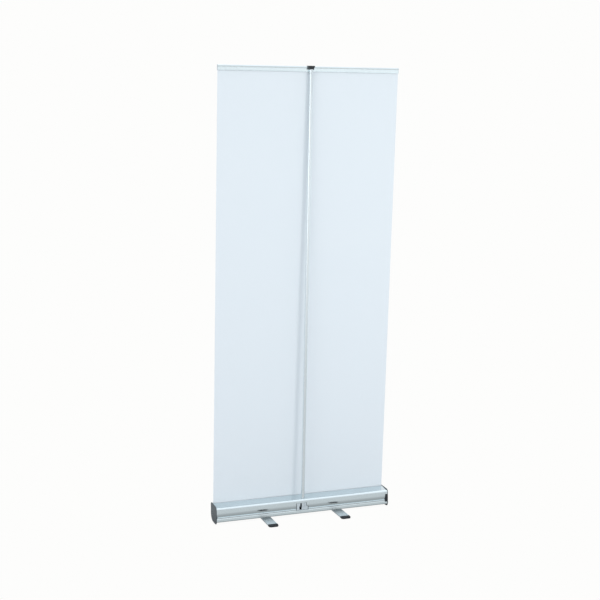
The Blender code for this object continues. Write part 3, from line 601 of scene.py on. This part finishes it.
def make_lock():
    outline = [(-0.0466, 0.0688), (-0.0484, 0.0620), (-0.0490, 0.0500), (-0.0490, 0.0316)]
    outline += [(-0.0350, 0.0316), (-0.0350, 0.0688)]
    insert = bar("lock_insert_moulding", rounded(outline, 0.0006, least=15),
                 END_X - 0.0122, CAP_END_X - 0.0001)
    soften(insert, 0.0004)
    dress(insert, BLACK, "base", "black_plastic", "lock_insert")
    low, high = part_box("lock_pin")
    length = high.x - low.x
    profile = [(0, 0), (0.0010, 0), (0.0016, 0.0004), (0.0020, 0.0015), (0.0020, length - 0.0012)]
    profile += [(0.0046, length - 0.0012), (0.0049, length - 0.0011)]
    for i in range(3):
        level = length - 0.0010 + 0.00025 * i
        profile += [(0.0050, level), (0.0048, level + 0.00012)]
    profile += [(0.0046, length - 0.0001), (0.0036, length), (0.0028, length - 0.0002), (0, length - 0.0003)]
    place = Matrix.Translation((low.x, (low.y + high.y) / 2, (low.z + high.z) / 2)) @ ALONG_X
    dress(turned("lock_pin_turned", profile, place, 48), STEEL, "lock", "steel", "lock_pin")


def make_pole_socket():
    """Moulded block seen through the window in the rear wall, with the pole's bore in it; the faces inside
    its slit are black as painted shade.
    """
    outline = [(-0.0462, 0.0688), (-0.0472, 0.0640), (-0.0474, 0.0560), (-0.0464, 0.0480)]
    outline += [(-0.0458, 0.0410), (-0.0458, 0.0366), (-0.0425, 0.0350), (-0.0425, 0.0310)]
    outline += [(-0.0240, 0.0310), (-0.0240, 0.0146), (-0.0160, 0.0122), (-0.0005, 0.0122)]
    outline += [(-0.0005, 0.0152), (-0.0140, 0.0152), (-0.0140, 0.0855), (-0.0320, 0.0850)]
    outline += [(-0.0384, 0.0822), (-0.0420, 0.0785), (-0.0436, 0.0740), (-0.0442, 0.0696)]
    socket = bar("pole_socket_moulding", rounded(outline, 0.0008), -0.0368, 0.0192)
    slit = [(-0.0238, 0.0380), (-0.0128, 0.0380), (-0.0118, 0.0720), (-0.0178, 0.0720)]
    bm = bmesh.new()
    skin(bm, [[(x, y, z) for x, z in slit] for y in (-0.060, -0.0330)])
    cutters = [mesh_object("slit", bm),
               block("ear_cut", (0.0105, -0.060, 0.0515), (0.030, -0.0400, 0.100)),
               block("window", (-0.0240, -0.060, 0.0455), (-0.0130, -0.0135, 0.0535)),
               block("seam", (0.0010, -0.060, 0.0510), (0.0022, -0.0448, 0.100)),
               rod("bore", POLE_RADIUS + GAP, -0.0526, 0.05, POLE_FRAME, 64)]
    cutters += [rod(f"flange_hole_{i}", SCREW_HOLE_RADIUS, 0, 0.02,
                    Matrix.Translation((x, SOCKET_SCREW_Y, 0)), 24)
                for i, x in enumerate(SOCKET_SCREWS_X)]
    combine(socket, cutters)
    soften(socket, 0.0003)
    dress(socket, LIGHT, "base", "light_plastic", "pole_socket")
    # painted shade: the faces inside the slit take the black plastic material so the gap reads dark
    socket.data.materials.append(BLACK)
    for face in socket.data.polygons:
        centre = face.center
        if -0.0245 < centre.x < -0.0112 and 0.0375 < centre.z < 0.0725 and -0.0458 < centre.y < -0.0325:
            face.material_index = 1


# ---------------------------------------------------------------- roller and spring
def make_roller():
    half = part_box("roller_tube")[1].x
    place = Matrix.Translation(ROLLER_CENTRE) @ ALONG_X
    tube = [(0.0113, -half), (0.0123, -half), (0.0125, 0.0002 - half), (0.0125, half - 0.0002),
            (0.0123, half), (0.0113, half)]
    dress(turned("roller_tube_drawn", tube, place, 64), ALUMINIUM_Z, "roller",
          "anodised_aluminium", "roller_tube")
    steps, turns, start, thick = 96, 1.75, 0.01285, 0.00022
    rings = []
    for i in range(int(steps * turns) + 1):
        angle = 2 * math.pi * i / steps
        radius = start + 0.00026 * i / steps
        ring = []
        for reach, z in ((radius, -FILM_HALF_WIDTH), (radius + thick, -FILM_HALF_WIDTH),
                         (radius + thick, FILM_HALF_WIDTH), (radius, FILM_HALF_WIDTH)):
            ring.append((reach * math.cos(angle), reach * math.sin(angle), z))
        rings.append(ring)
    bm = bmesh.new()
    skin(bm, rings)
    dress(mesh_object("leader_wraps_spiral", bm, place), FILM, "roller", "film", "leader_wraps")


def make_spring():
    """Round wire wound round the shaft between the anchor and the roller's plug."""
    turns, steps, sides = 15, 28, 10
    coil, wire = 0.0072, 0.0009
    low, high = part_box("torsion_spring")
    start, end = low.x + wire, high.x - wire
    rings = []
    for i in range(turns * steps + 1):
        angle = 2 * math.pi * i / steps
        along = start + (end - start) * i / (turns * steps)
        ring = []
        for k in range(sides):
            around = 2 * math.pi * k / sides
            reach = coil + wire * math.cos(around)
            ring.append((along + wire * math.sin(around), reach * math.cos(angle), reach * math.sin(angle)))
        rings.append(ring)
    bm = bmesh.new()
    skin(bm, rings)
    place = Matrix.Translation((0, *ROLLER_CENTRE.yz))
    dress(mesh_object("torsion_spring_coil", bm, place, angle=60), STEEL, "base", "steel", "torsion_spring")


# ---------------------------------------------------------------- film and top rail
def sheet(name, low_w, high_w, rows, wave):
    """Closed thin sheet in the film's plane, moved off the plane by wave(x, share of the height)."""
    columns, half = 60, FILM_HALF_THICKNESS
    bm = bmesh.new()
    sides = []
    for side in (-half, half):
        grid = []
        for j in range(rows + 1):
            share = j / rows
            line = []
            for i in range(columns + 1):
                x = FILM_HALF_WIDTH * (2 * i / columns - 1)
                line.append(bm.verts.new((x, wave(x, share) + side, low_w + (high_w - low_w) * share)))
            grid.append(line)
        sides.append(grid)
    for grid in sides:
        for j in range(rows):
            for i in range(columns):
                bm.faces.new((grid[j][i], grid[j][i + 1], grid[j + 1][i + 1], grid[j + 1][i]))
    near, far = sides
    for j in (0, rows):
        for i in range(columns):
            bm.faces.new((near[j][i], near[j][i + 1], far[j][i + 1], far[j][i]))
    for i in (0, columns):
        for j in range(rows):
            bm.faces.new((near[j][i], near[j + 1][i], far[j + 1][i], far[j][i]))
    return mesh_object(name, bm, FILM_FRAME)


def film_wave(x, share):
    """A slack small enough to stay between the rail's two halves when the film is rolled in."""
    held = math.sin(math.pi * share) ** 0.6 if 0 < share < 1 else 0
    across = x / FILM_HALF_WIDTH
    waves = SLACK_WAVE * math.sin(7.3 * share + 1.1) * math.cos(2.2 * across + 0.6)
    curl = -SLACK_CURL * abs(across) ** 6
    return held * (waves + curl)


def make_film():
    panel_low = -0.0040
    film_top = BEAD_W - BEAD_RADIUS - 0.0004
    panel = sheet("film_panel", panel_low, film_top, 150, film_wave)
    dress(panel, FILM, "base", "film", "banner_film")
    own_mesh(panel)
    start = (-(SLOT_Z - ROLLER_CENTRE.z) * math.cos(FILM_LEAN)
             - (SLOT_Y - ROLLER_CENTRE.y) * math.sin(FILM_LEAN))
    inside = sheet("film_in_housing", start, panel_low - 0.0002, 6, lambda x, share: 0.0)
    dress(inside, FILM, "base", "film", "banner_film")


def make_rail():
    foot = BEAD_RADIUS - RAIL_HEIGHT
    outline = arc((0, 0), BEAD_RADIUS, 18, 224, 44)
    outline += [(-0.0036, foot + 0.0008), (-0.0030, foot), (-0.00045, foot), (-0.00045, -0.00498)]
    outline += arc((0, 0), BEAD_RADIUS, 272, 272, 1)[:1]
    outline += arc((0, 0), BEAD_BORE, 272, 18, 44)
    place = FILM_FRAME @ Matrix.Translation((0, 0, BEAD_W))
    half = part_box("rail_body")[1].x
    rail = bar("rail_rear_profile", rounded(outline, 0.0003, least=30), -half, half, place)
    dress(rail, ALUMINIUM_X, "top_rail", "anodised_aluminium", "rail_body")

    plate = arc((0, 0), BEAD_RADIUS, -50, 224, 48)
    plate += [(-0.0036, foot + 0.0008), (-0.0030, foot), (0.0026, foot), (0.0032, foot + 0.0008)]
    for label in ("left", "right"):
        low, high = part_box(f"rail_{label}_cap")
        cap = bar(f"rail_{label}_cap_moulding", rounded(plate, 0.0004), low.x, high.x, place)
        soften(cap, 0.0002)
        dress(cap, LIGHT, "top_rail", "light_plastic", f"rail_{label}_cap")

    jaw = arc((0, 0), JAW_PIN_RADIUS, -46, 282, 44)
    jaw += [(0.00105, -0.0046), (0.00105, foot + 0.0020), (0.00045, foot + 0.0014), (0.00045, foot)]
    jaw += [(0.0026, foot), (0.0032, foot + 0.0008), (0.0032, -0.0052), (0.0029, -0.0046)]
    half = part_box("rail_clamp_jaw")[1].x
    front = bar("rail_jaw_profile", rounded(jaw, 0.0003, least=30), -half, half, place)
    dress(front, ALUMINIUM_X, "clamp_jaw", "anodised_aluminium", "rail_clamp_jaw")


# ---------------------------------------------------------------- pole
def in_pole(node):
    """Lowest and highest point of a CAD node along the pole."""
    inverse = POLE_FRAME.inverted()
    heights = [(inverse @ vertex.co).z for vertex in frame["nodes"][node].data.vertices]
    return min(heights), max(heights)


def tube(name, outer, inner, low, high, body, node):
    ease = 0.0003
    profile = [(inner, low), (outer - ease, low), (outer, low + ease), (outer, high - ease),
               (outer - ease, high), (inner, high)]
    dress(turned(name, profile, POLE_FRAME, 72), ALUMINIUM_Z, body, "anodised_aluminium", node)


def make_pole():
    for part in ("lower", "middle", "upper"):
        node = f"pole_{part}_tube"
        tube(f"{node}_drawn", POLE_RADIUS, POLE_RADIUS - POLE_WALL, *in_pole(node), f"pole_{part}", node)
    for part, body in (("lower", "pole_lower"), ("upper", "pole_middle")):
        node = f"{part}_ferrule"
        tube(f"{node}_drawn", 0.0067, 0.0057, *in_pole(node), body, node)
    low = in_pole("pole_foot_plug")[0]
    plug = [(0, low), (0.0062, low), (0.0071, low + 0.0003), (0.0077, low + 0.0010), (0.0077, low + 0.0028),
            (0.0075, low + 0.0030), (0.0066, low + 0.0030)]
    for i in range(4):
        rib = low + 0.0052 + 0.0034 * i
        plug += [(0.0062, rib), (0.0062, rib + 0.0012), (0.0066, rib + 0.0016), (0.0066, rib + 0.0026)]
    plug += [(0.0060, low + 0.0200), (0, low + 0.0200)]
    dress(turned("pole_foot_plug_moulding", plug, POLE_FRAME, 56), BLACK, "pole_lower", "black_plastic",
          "pole_foot_plug")
    low, high = in_pole("shock_cord")
    cord = []
    for end, way in ((low, 1), (high, -1)):
        knot = [(0, 0), (0.0018, 0.0004), (0.0029, 0.0014), (0.0030, 0.0030), (0.0028, 0.0044),
                (0.0019, 0.0058), (0.0014, 0.0068)]
        part = [(radius, end + way * height) for radius, height in knot]
        cord += part if way > 0 else part[::-1]
    dress(turned("shock_cord_braided", cord, POLE_FRAME, 32, angle=50), CORD, "pole_lower", "cord",
          "shock_cord")


def make_hook():
    """Collar over the pole's end, and above it a wider bar that goes over the rail's bead."""
    bar_half, collar_half = 0.0138, 0.0105
    bead_y, bead_z = BEAD_IN_POLE.y, BEAD_IN_POLE.z
    arm_under = bead_z + BEAD_RADIUS + 0.0005
    arm_top = bead_z + BEAD_RADIUS + 0.0022
    bar_low = arm_top - 0.0075
    collar_low = arm_top - 0.0170
    collar_front = bead_y - BEAD_RADIUS - 0.0005
    lip = bead_y + BEAD_RADIUS + 0.0005
    lip_low = bead_z + 0.0014
    outline = [(-0.0096, collar_low + 0.0004), (-0.0088, collar_low), (collar_front, collar_low)]
    outline += [(collar_front, arm_under), (lip, arm_under), (lip, lip_low), (lip + 0.0030, lip_low)]
    outline += arc((lip + 0.0004, arm_top - 0.0030), 0.0030, 0, 90, 10)
    outline += arc((-0.0066, arm_top - 0.0030), 0.0030, 90, 180, 10)
    hook = bar("pole_hook_moulding", outline, -bar_half, bar_half, POLE_FRAME)
    arch_centre = Matrix.Translation((0, 0, collar_low - 0.0178))
    arch_place = POLE_FRAME @ arch_centre @ Matrix.Rotation(math.pi / 2, 4, "X")
    cutters = [rod("hook_bore", POLE_RADIUS + GAP, collar_low - 0.005, bead_z + BEAD_RADIUS + 0.0010,
                   POLE_FRAME, 64),
               rod("hook_arch", 0.020, -0.05, 0.05, arch_place, 96)]
    for side in (-1, 1):
        near, far = sorted((side * collar_half, side * 0.030))
        cutters.append(block(f"hook_side_{side}", (near, -0.03, bar_low - 0.03), (far, 0.03, bar_low),
                             POLE_FRAME))
    combine(hook, cutters)
    soften(hook, 0.0006, 3)
    dress(hook, BLACK, "pole_upper", "black_plastic", "pole_hook")


# ---------------------------------------------------------------- feet
def make_foot_tip(label, end, direction, pivot):
    """Rounded moulding pushed into the channel's end."""
    def ring(z, inset):
        half, inner, outer, turn = 0.0230 - inset, FOOT_REACH + GAP, FOOT_END - inset, 0.0110
        right = arc((half - turn, outer - turn), turn, 0, 90, 16)
        left = arc((turn - half, outer - turn), turn, 90, 180, 16)
        return [(x, direction * y, z) for x, y in [(half, inner)] + right + left + [(-half, inner)]]

    rings = [ring(0.0, 0.0008), ring(0.0003, 0.0003), ring(0.0009, 0.0), ring(0.0058, 0.0)]
    for i in range(1, 6):
        turn = math.radians(18 * i)
        rings.append(ring(0.0058 + 0.0024 * math.sin(turn), 0.0024 * (1 - math.cos(turn))))
    bm = bmesh.new()
    skin(bm, rings)
    tip = mesh_object(f"{label}_foot_{end}_tip_moulding", bm, pivot)
    near, far = sorted((direction * (FOOT_REACH - 0.0150), direction * (FOOT_REACH + 0.0040)))
    combine(tip, [block("tongue", (-0.0201, near, 0.0016), (0.0201, far, 0.0058), pivot)], "UNION")
    dress(tip, TIP_BLACK, f"foot_{label}", "black_plastic", f"{label}_foot_{end}_tip")


def make_foot(label, x):
    pivot = Matrix.Translation((x, 0, 0))
    half, leg = FOOT_HALF_WIDTH, FOOT_WALL
    outline = [(half, 0.0012)] + arc((half - 0.0015, FOOT_TOP - 0.0015), 0.0015, 0, 90, 10)
    outline += arc((0.0015 - half, FOOT_TOP - 0.0015), 0.0015, 90, 180, 10) + [(-half, 0.0012)]
    outline += [(leg - half, 0.0012), (leg - half, FOOT_TOP - leg), (half - leg, FOOT_TOP - leg),
                (half - leg, 0.0012)]
    bm = bmesh.new()
    skin(bm, [[(u, y, z) for u, z in rounded(outline, 0.0003)] for y in (-FOOT_REACH, FOOT_REACH)])
    channel = mesh_object(f"{label}_foot_channel", bm, pivot)
    combine(channel, [rod("hole", RIVET_HOLE_RADIUS, -0.01, 0.02, pivot, 40)])
    channel.visible_glossy = False  # keeps the channel, but not its tips, out of reflections
    dress(channel, FOOT_METAL, f"foot_{label}", "anodised_aluminium", f"{label}_foot")
    make_foot_tip(label, "rear", -1, pivot)
    make_foot_tip(label, "front", 1, pivot)
    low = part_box(f"{label}_foot_rivet")[0].z
    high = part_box(f"{label}_foot_rivet")[1].z
    rivet = [(0, low), (0.0046, low), (0.0056, low + 0.0003), (0.0066, low + 0.0010), (0.0068, low + 0.0016),
             (0.0068, low + 0.0021), (0.0030, low + 0.0021), (0.0030, high - 0.0022)]
    rivet += [(0.0058 * math.cos(math.radians(a)), high - 0.0021 + 0.0021 * math.sin(math.radians(a)))
              for a in (0, 18, 36, 54, 72)]
    rivet.append((0, high))
    dress(turned(f"{label}_foot_rivet_domed", rivet, pivot, 48), STEEL, "base", "steel",
          f"{label}_foot_rivet")
    low, high = (corner.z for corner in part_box(f"{label}_foot_washer"))
    washer = [(0.0033, low), (0.0108, low), (0.0110, low + 0.0002), (0.0110, high - 0.0002), (0.0108, high),
              (0.0033, high)]
    dress(turned(f"{label}_foot_washer_moulding", washer, pivot, 64), BLACK, "base", "black_plastic",
          f"{label}_foot_washer")


def paint_carried_nodes():
    """The pieces that stay as they are in the frame, hidden in the roller."""
    for node, mat in (("roller_idler_plug", BLACK), ("roller_spring_plug", BLACK), ("spring_anchor", BLACK),
                      ("left_axle_bush", LIGHT), ("spring_shaft", STEEL)):
        materials = frame["nodes"][node].data.materials
        materials.clear()
        materials.append(mat)


make_housing()
make_end_cap("left", -1, 0.0060)
make_end_cap("right", 1, 0.0033)
make_screws()
make_lock()
make_pole_socket()
make_roller()
make_spring()
make_film()
make_rail()
make_pole()
make_hook()
make_foot("left", -FOOT_X)
make_foot("right", FOOT_X)
paint_carried_nodes()


# ---------------------------------------------------------------- stage
PAPER_WHITE = rgb(0.982, 0.982, 0.974)
CEILING = (1.55, 1.60, 1.66)
ROOM_HIGH = (1.05, 1.08, 1.12)
ROOM_FRONT = (0.58, 0.60, 0.62)
ROOM_BACK = (0.92, 0.94, 0.97)
CONTACT_SHADE = 0.93
# painted light: the floor glows in reflections, dim close to the housing as painted shade and brighter far
# off
# (near distance, far distance, brightness added at the near one, at the far one); steps add up
FLOOR_STEPS = [(0.0, 0.04, 0.38, 0.44), (0.04, 0.13, 0.0, 0.28), (1.5, 5.6, 0.0, 0.28),
               (5.6, 11.0, 0.0, 0.055)]
FLOOR_MIRRORED = rgb(0.975, 1.0, 1.015)
# painted shade: the grey-white card is darker near the stand than far from it
FLOOR_NEAR = (0.50, 0.515, 0.525)
FLOOR_FAR = (0.60, 0.615, 0.625)
LIGHTS = [
    ("key", (2.3, -4.2, 1.6), (0, -0.05, 1.1), (1.1, 2.2), 36, (1.0, 0.99, 0.97)),
    ("fill", (-3.9, -2.7, 1.5), (0, 0, 0.9), (2.2, 2.0), 16, (0.98, 0.99, 1.0)),
]


def shader_tree(owner):
    owner.use_nodes = True
    owner.node_tree.nodes.clear()
    return owner.node_tree


def make_floor():
    """Pale sweep with three looks: plain white with a slight painted contact shade to the camera, a painted
    glow in reflections whose brightness rises with the distance from the housing, a grey-white card
    elsewhere, painted darker near the middle."""
    bm = bmesh.new()
    bmesh.ops.create_grid(bm, x_segments=1, y_segments=1, size=30)
    floor = mesh_object("floor", bm, Matrix.Translation((0, 0, -0.0002)))
    mat = bpy.data.materials.new("floor_card")
    mat.cycles.emission_sampling = "NONE"
    tree = shader_tree(mat)
    new, link = tree.nodes.new, tree.links.new

    def ramp(value, low, high, out_low, out_high):
        made = new("ShaderNodeMapRange")
        link(value, made.inputs["Value"])
        for name, number in (("From Min", low), ("From Max", high), ("To Min", out_low),
                             ("To Max", out_high)):
            made.inputs[name].default_value = number
        return made.outputs["Result"]

    def maths(operation, a, b):
        made = new("ShaderNodeMath")
        made.operation = operation
        for socket, value in zip(made.inputs, (a, b)):
            if isinstance(value, bpy.types.NodeSocket):
                link(value, socket)
            else:
                socket.default_value = value
        return made.outputs["Value"]

    shade = new("ShaderNodeAmbientOcclusion")
    shade.inputs["Distance"].default_value = 0.012
    seen = new("ShaderNodeEmission")
    seen.inputs["Color"].default_value = PAPER_WHITE
    link(ramp(shade.outputs["AO"], 0.0, 1.0, CONTACT_SHADE, 1.0), seen.inputs["Strength"])

    position = new("ShaderNodeNewGeometry").outputs["Position"]
    parts = new("ShaderNodeSeparateXYZ")
    link(position, parts.inputs["Vector"])
    past_end = maths("MAXIMUM", maths("SUBTRACT", maths("ABSOLUTE", parts.outputs["X"], 0.0), CAP_END_X), 0.0)
    squares = maths("ADD", maths("POWER", past_end, 2.0), maths("POWER", parts.outputs["Y"], 2.0))
    from_middle = maths("SQRT", squares, 0.0)
    away = maths("SUBTRACT", from_middle, 0.05)
    bright = ramp(away, *FLOOR_STEPS[0])
    for step in FLOOR_STEPS[1:]:
        bright = maths("ADD", bright, ramp(away, *step))
    sideways = maths("MULTIPLY", ramp(away, 11.0, 20.0, 0.0, 1.0),
                     ramp(parts.outputs["X"], 6.5, 10.0, 0.40, 0.75))
    mirrored = new("ShaderNodeEmission")
    mirrored.inputs["Color"].default_value = FLOOR_MIRRORED
    link(maths("ADD", bright, sideways), mirrored.inputs["Strength"])

    card = new("ShaderNodeBsdfDiffuse")
    distance = new("ShaderNodeVectorMath")
    distance.operation = "LENGTH"
    link(position, distance.inputs[0])
    tone = new("ShaderNodeMix")
    tone.data_type = "RGBA"
    link(ramp(distance.outputs["Value"], 0.10, 2.50, 0.0, 1.0), tone.inputs[0])
    tone.inputs[6].default_value = rgb(*FLOOR_NEAR)
    tone.inputs[7].default_value = rgb(*FLOOR_FAR)
    link(tone.outputs[2], card.inputs["Color"])

    rays = new("ShaderNodeLightPath")
    unseen = new("ShaderNodeMixShader")
    link(rays.outputs["Is Glossy Ray"], unseen.inputs["Fac"])
    link(card.outputs["BSDF"], unseen.inputs[1])
    link(mirrored.outputs["Emission"], unseen.inputs[2])
    mix = new("ShaderNodeMixShader")
    link(rays.outputs["Is Camera Ray"], mix.inputs["Fac"])
    link(unseen.outputs["Shader"], mix.inputs[1])
    link(seen.outputs["Emission"], mix.inputs[2])
    link(mix.outputs["Shader"], new("ShaderNodeOutputMaterial").inputs["Surface"])
    floor.data.materials.append(mat)


def make_world():
    """Studio seen by the object: white sweep behind it, bright ceiling, dimmer room towards -Y."""
    world = bpy.data.worlds.new("studio")
    bpy.context.scene.world = world
    tree = shader_tree(world)
    new, link = tree.nodes.new, tree.links.new
    parts = new("ShaderNodeSeparateXYZ")
    link(new("ShaderNodeTexCoord").outputs["Generated"], parts.inputs["Vector"])

    def share(value, low, high):
        made = new("ShaderNodeMapRange")
        made.interpolation_type = "SMOOTHSTEP"
        made.inputs["From Min"].default_value = low
        made.inputs["From Max"].default_value = high
        link(value, made.inputs["Value"])
        return made.outputs["Result"]

    def blended(factor, a, b):
        made = new("ShaderNodeMix")
        made.data_type = "RGBA"
        link(factor, made.inputs[0])
        for socket, value in ((made.inputs[6], a), (made.inputs[7], b)):
            if isinstance(value, tuple):
                socket.default_value = rgb(*value)
            else:
                link(value, socket)
        return made.outputs[2]

    front = blended(share(parts.outputs["Z"], 0.12, 0.42), ROOM_FRONT, ROOM_HIGH)
    sides = blended(share(parts.outputs["Y"], -0.5, 0.5), front, ROOM_BACK)
    room = new("ShaderNodeBackground")
    link(blended(share(parts.outputs["Z"], 0.80, 0.97), sides, CEILING), room.inputs["Color"])
    white = new("ShaderNodeBackground")
    white.inputs["Color"].default_value = PAPER_WHITE
    pick = new("ShaderNodeMixShader")
    link(new("ShaderNodeLightPath").outputs["Is Camera Ray"], pick.inputs["Fac"])
    link(room.outputs["Background"], pick.inputs[1])
    link(white.outputs["Background"], pick.inputs[2])
    link(pick.outputs["Shader"], new("ShaderNodeOutputWorld").inputs["Surface"])


def make_light(name, place, target, size, power, colour):
    light = bpy.data.lights.new(name, "AREA")
    light.shape = "RECTANGLE"
    light.size, light.size_y = size
    light.energy = power
    light.color = colour
    obj = bpy.data.objects.new(name, light)
    obj.location = place
    obj.rotation_euler = (Vector(target) - Vector(place)).to_track_quat("-Z", "Y").to_euler()
    obj.visible_camera = False
    obj.visible_glossy = name != "key"
    bpy.context.scene.collection.objects.link(obj)


def make_camera():
    camera = bpy.data.objects.new("camera", bpy.data.cameras.new("camera"))
    camera.data.lens = 70.18
    camera.data.sensor_width = 36.0
    camera.location = (-1.7959, -5.0750, 1.7717)
    camera.rotation_euler = (math.radians(82.1503), 0, math.radians(-19.4429))
    bpy.context.scene.collection.objects.link(camera)
    bpy.context.scene.camera = camera


make_floor()
make_world()
for values in LIGHTS:
    make_light(*values)
make_camera()
bpy.context.scene.view_settings.view_transform = "Standard"
